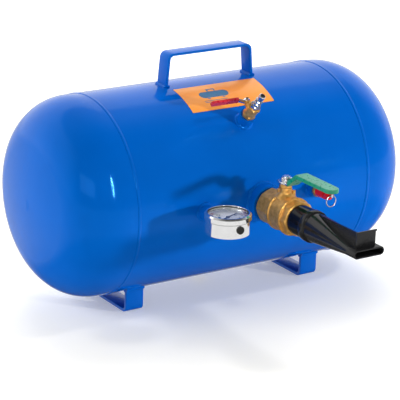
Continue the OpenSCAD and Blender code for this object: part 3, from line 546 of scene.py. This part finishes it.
def capsule(x, y, half_length, radius, steps=12):
    """Outline of a lying capsule."""
    points = []
    for side, first in ((1, -90), (-1, 90)):
        for i in range(steps + 1):
            angle = math.radians(first + 180 * i / steps)
            points.append((x + side * (half_length - radius) + radius * math.cos(angle),
                           y + radius * math.sin(angle)))
    return points


def bar(x, y, length, height):
    """Outline of a rectangle, from its middle."""
    return [(x - length / 2, y - height / 2), (x + length / 2, y - height / 2),
            (x + length / 2, y + height / 2), (x - length / 2, y + height / 2)]


def label_print():
    """A plain picture of a tank with its handle and feet, over two rules. Sizes are in mm."""
    x, y = -17, 33
    tank_half, tank_r = 25, 7.5
    line = 2.6
    handle_half, leg_y, leg_h, grip_y = 6, 10.2, 4.4, 13
    foot_x, foot_y, foot_l, foot_h = 13, -9, 5, 2
    rules = ((-4, -14, 40), (-9, -17, 30))
    rule_h = 1.1
    on_label("label_picture", [
        capsule(x, y, tank_half, tank_r),
        bar(x - handle_half, y + leg_y, line, leg_h),
        bar(x + handle_half, y + leg_y, line, leg_h),
        bar(x, y + grip_y, 2 * handle_half + line, line),
        bar(x - foot_x, y + foot_y, foot_l, foot_h),
        bar(x + foot_x, y + foot_y, foot_l, foot_h),
    ], PRINT_BLUE)
    on_label("label_rules", [bar(x + u, y + v, length, rule_h) for u, v, length in rules], PRINT_BLUE)


# ---------- Gauge ----------

FULL_TURN = math.radians(270)
TOP_READING = 12
MARKS_PER_READING = 5
OUTER_TOP = 17.4  # reading of the outer scale at the end of the arc; each whole number has a mark
DIAL_MIDDLE = middle("gauge_lens")
DIAL_FACE_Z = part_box("gauge_dial")[1][2]
DIAL_R = size_of("gauge_dial").x / 2
DIAL_PRINT = 0.05 * MM  # thickness
MARK_W = 0.9 * MM
OUTER_MARK_W = 0.6 * MM
NUMBER_H = 7 * MM
NUMBER_BOLD = 0.15 * MM  # how far a number's outline is spread
FULL_ARC_STEPS = 90
PART_ARC_STEPS = 20


def dial_angle(share):
    """Direction of a share of the scale, counted from +X."""
    pointer = middle("gauge_pointer") - DIAL_MIDDLE
    return math.atan2(pointer.y, pointer.x) - FULL_TURN * share


def sector(bm, inner, outer, start, end, steps=1):
    """A flat band on the dial, between two radii and two shares of the scale."""
    rows = []
    for i in range(steps + 1):
        angle = dial_angle(start + (end - start) * i / steps)
        rows.append([
            (DIAL_MIDDLE.x + r * math.cos(angle), DIAL_MIDDLE.y + r * math.sin(angle), DIAL_FACE_Z + h)
            for r, h in ((inner, 0.0), (outer, 0.0), (outer, DIAL_PRINT), (inner, DIAL_PRINT))
        ])
    rows = loft(bm, rows, closed=False)
    for end_row in (rows[0], rows[-1]):
        bm.faces.new(end_row)


def tick(bm, share, inner, outer, width):
    """A mark across the scale."""
    half = width / (inner + outer) / FULL_TURN
    sector(bm, inner, outer, share - half, share + half)


def on_dial(bm, name, material):
    piece_from(bm, name, material, "tank")


def dial_marks():
    """Scales and coloured bands, as thin print on the dial."""
    marks = TOP_READING * MARKS_PER_READING
    scale_r = DIAL_R * 0.8
    black = bmesh.new()
    for i in range(marks + 1):
        if i % MARKS_PER_READING == 0:
            tick(black, i / marks, DIAL_R * 0.7, scale_r, MARK_W)
        else:
            tick(black, i / marks, DIAL_R * 0.75, scale_r, MARK_W / 2)
    sector(black, scale_r, DIAL_R * 0.812, 0, 1, FULL_ARC_STEPS)
    on_dial(black, "dial_scale", FINISHES["pointer_black"])

    red = bmesh.new()
    for i in range(math.ceil(OUTER_TOP)):
        tick(red, i / OUTER_TOP, DIAL_R * 0.86, DIAL_R * 0.92, OUTER_MARK_W)
    sector(red, DIAL_R * 0.9, DIAL_R * 0.945, 0, 1, FULL_ARC_STEPS)
    sector(red, DIAL_R * 0.815, DIAL_R * 0.845, 0.8, 1, PART_ARC_STEPS)
    on_dial(red, "dial_outer_scale", SCALE_RED)

    blue = bmesh.new()
    sector(blue, DIAL_R * 0.34, DIAL_R * 0.46, 0.62, 0.92, PART_ARC_STEPS)
    on_dial(blue, "dial_arc", SCALE_BLUE)


def dial_numbers():
    """Plain even numbers inside the scale, upright when the gap in the scale is at the bottom."""
    number_r = DIAL_R * 0.57
    half_gap = (math.tau - FULL_TURN) / 2
    upright = dial_angle(0) + half_gap + math.pi / 2
    for reading in range(0, TOP_READING + 1, 2):
        name = f"dial_number_{reading}"
        curve = bpy.data.curves.new(name, "FONT")
        curve.body = str(reading)
        curve.size = NUMBER_H
        curve.offset = NUMBER_BOLD
        curve.align_x = "CENTER"
        curve.align_y = "CENTER"
        curve.extrude = DIAL_PRINT / 2
        maker = bpy.data.objects.new(name + "_text", curve)
        bpy.context.scene.collection.objects.link(maker)
        mesh = bpy.data.meshes.new_from_object(
            maker.evaluated_get(bpy.context.evaluated_depsgraph_get()))
        bpy.data.objects.remove(maker)
        angle = dial_angle(reading / TOP_READING)
        at = Vector((DIAL_MIDDLE.x + number_r * math.cos(angle),
                     DIAL_MIDDLE.y + number_r * math.sin(angle), DIAL_FACE_Z + DIAL_PRINT / 2))
        mesh.transform(Matrix.Translation(at) @ Matrix.Rotation(upright, 4, "Z"))
        bm = bmesh.new()
        bm.from_mesh(mesh)
        on_dial(bm, name, FINISHES["pointer_black"])


def gauge_gasket():
    """Black ring between the window and the bezel's lip: painted shade that makes the bezel's inner wall
    look dark.
    """
    gap = 0.05 * MM
    height = 1.1 * MM
    width = 0.9 * MM
    lip_w = 2.2 * MM  # how far the bezel's lip reaches in over the window, with a little room
    steps = 96
    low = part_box("gauge_lens")[1][2] + gap
    high = low + height
    outer = size_of("gauge_lens").x / 2 - lip_w
    inner = outer - width
    angles = [math.tau * i / steps for i in range(steps)]
    bm = bmesh.new()
    loft(bm, [[(DIAL_MIDDLE.x + r * math.cos(a), DIAL_MIDDLE.y + r * math.sin(a), z) for a in angles]
              for r, z in ((outer, low), (outer, high), (inner, high), (inner, low))])
    # the plug's black rubber finish, used here as painted shade
    on_dial(bm, "gauge_gasket", FINISHES["black_rubber"])


# ---------- The object ----------

girth_welds()
bung_welds()
nozzle()
label_print()
dial_marks()
dial_numbers()
# black ring inside the gauge's bezel: painted shade, not a part
gauge_gasket()
for cast in ("main_valve_body", "main_valve_cap"):
    softened(cast, voxel=0.6 * MM, passes=5)
for small_cast in ("fill_valve_body", "fill_valve_cap"):
    softened(small_cast, voxel=0.3 * MM, passes=4)
softened("main_lever_grip", voxel=0.4 * MM, passes=34)
softened("fill_lever_grip", voxel=0.3 * MM, passes=14)
for flat_bar in ("handle", "foot_left", "foot_right"):
    rounded(flat_bar, radius=0.7 * MM, steps=3)
for pressed in ("main_lever", "fill_lever"):
    rounded(pressed, radius=0.3 * MM)
rounded("rim_stop", radius=0.5 * MM)


# ---------- Stage, lights and camera ----------

# The photo's own view, as solved from the tank's outline
VIEW_AZIMUTH = math.radians(-33.332)
VIEW_ELEVATION = math.radians(18.048)
VIEW_DISTANCE = 3.1589
LENS = 186.6
SENSOR = 36.0
YAW = -0.0008
PITCH = -0.0125
ROLL = 0.0299
VIEW_REACH = 200  # how far the camera sees

FLOOR_HALF = 60.0
FLOOR_GLOW = 0.27


def heading(azimuth, elevation):
    """Unit vector from the tank towards a place. Azimuth 0 is -Y, and 90 degrees is +X."""
    return Vector((math.sin(azimuth) * math.cos(elevation), -math.cos(azimuth) * math.cos(elevation),
                   math.sin(elevation)))


def camera():
    """The camera looks at the tank's middle, turned a little off it and rolled."""
    back = heading(VIEW_AZIMUTH, VIEW_ELEVATION)
    right = (-back).cross(Vector((0, 0, 1))).normalized()
    up = right.cross(-back)
    look = (-back + math.tan(YAW) * right + math.tan(PITCH) * up).normalized()
    right = look.cross(Vector((0, 0, 1))).normalized()
    up = right.cross(look)
    rolled_right = math.cos(ROLL) * right + math.sin(ROLL) * up
    rolled_up = -math.sin(ROLL) * right + math.cos(ROLL) * up
    place = Matrix((rolled_right, rolled_up, -look)).transposed().to_4x4()
    place.translation = AXIS + back * VIEW_DISTANCE
    data = bpy.data.cameras.new("camera")
    data.lens = LENS
    data.sensor_width = SENSOR
    data.clip_end = VIEW_REACH
    obj = bpy.data.objects.new("camera", data)
    obj.matrix_world = place
    bpy.context.scene.collection.objects.link(obj)
    bpy.context.scene.camera = obj


def floor():
    """Warm white floor with a faint glow, which shiny pieces don't reflect."""
    bm = bmesh.new()
    signs = ((-1, -1), (1, -1), (1, 1), (-1, 1))
    bm.faces.new([bm.verts.new((x * FLOOR_HALF, y * FLOOR_HALF, 0)) for x, y in signs])
    mesh = bpy.data.meshes.new("floor")
    bm.to_mesh(mesh)
    bm.free()
    obj = bpy.data.objects.new("floor", mesh)
    obj.visible_glossy = False
    bpy.context.scene.collection.objects.link(obj)
    white = matt("floor_white", (0.88, 0.86, 0.79), (0.89, 0.87, 0.8), (0.6, 0.7), 4)
    shader = white.node_tree.nodes["Principled BSDF"]
    shader.inputs["Emission Color"].default_value = (1, 1, 1, 1)
    shader.inputs["Emission Strength"].default_value = FLOOR_GLOW
    paint(obj, white)


def sky():
    """White world: bright behind the tank, and dim in front and overhead.

    Below the horizon it stands in for the floor in reflections: lit far off, dark under the tank.
    """
    world = bpy.data.worlds.new("studio")
    world.use_nodes = True
    tree = world.node_tree
    background = tree.nodes["Background"]
    background.inputs["Color"].default_value = (1, 1, 1, 1)
    direction = tree.nodes.new("ShaderNodeTexCoord").outputs["Generated"]
    split = tree.nodes.new("ShaderNodeSeparateXYZ")
    tree.links.new(direction, split.inputs["Vector"])
    backward, upward = split.outputs["Y"], split.outputs["Z"]

    def shade(source, start, end, low, high):
        """Goes from low to high as source goes from start to end. Low and high may be sockets."""
        spread = tree.nodes.new("ShaderNodeMapRange")
        spread.interpolation_type = "SMOOTHSTEP"
        tree.links.new(source, spread.inputs["Value"])
        for socket, value in (("From Min", start), ("From Max", end), ("To Min", low), ("To Max", high)):
            if isinstance(value, bpy.types.NodeSocket):
                tree.links.new(value, spread.inputs[socket])
            else:
                spread.inputs[socket].default_value = value
        return spread.outputs["Result"]

    overhead = shade(upward, 0.70, 0.78, 1.0, 0.4)
    behind = shade(backward, -0.25, 0.3, 0.2, 1.15)
    above = tree.nodes.new("ShaderNodeMath")
    above.operation = "MULTIPLY"
    tree.links.new(overhead, above.inputs[0])
    tree.links.new(behind, above.inputs[1])
    below = shade(upward, -0.62, -0.42, 0.1, 0.8)
    brightness = shade(upward, -0.05, 0.0, below, above.outputs["Value"])
    tree.links.new(brightness, background.inputs["Strength"])
    bpy.context.scene.world = world


def panel(name, azimuth, elevation, distance, width, height, power, mirrored=False):
    """A soft box that faces the tank. Angles are in degrees and power is in watts.

    A mirrored one shows only in reflections, and any other one shows in none.
    """
    light = bpy.data.lights.new(name, "AREA")
    light.shape = "RECTANGLE"
    light.size = width
    light.size_y = height
    light.energy = power
    obj = bpy.data.objects.new(name, light)
    out = heading(math.radians(azimuth), math.radians(elevation))
    obj.location = AXIS + out * distance
    obj.rotation_euler = out.to_track_quat("Z", "Y").to_euler()
    obj.visible_camera = False
    obj.visible_glossy = mirrored
    obj.visible_diffuse = not mirrored
    bpy.context.scene.collection.objects.link(obj)


def lights():
    """Soft light from the front right, from above the back and from the left, and two mirrored panels."""
    panel("key_low", 36, 9, 2.6, 0.14, 0.14, 40)
    panel("key_high", 52, 50, 2.6, 0.3, 0.3, 13)
    panel("overhead", 150, 50, 3.0, 2.4, 2.4, 75)
    panel("left_fill", -95, 25, 3.0, 1.4, 1.4, 40)
    panel("strip", -10, 24, 2.6, 0.10, 0.9, 40, mirrored=True)
    panel("card", -60, 18, 2.6, 1.2, 0.7, 6, mirrored=True)


camera()
floor()
sky()
lights()
bpy.context.scene.view_settings.view_transform = "Standard"
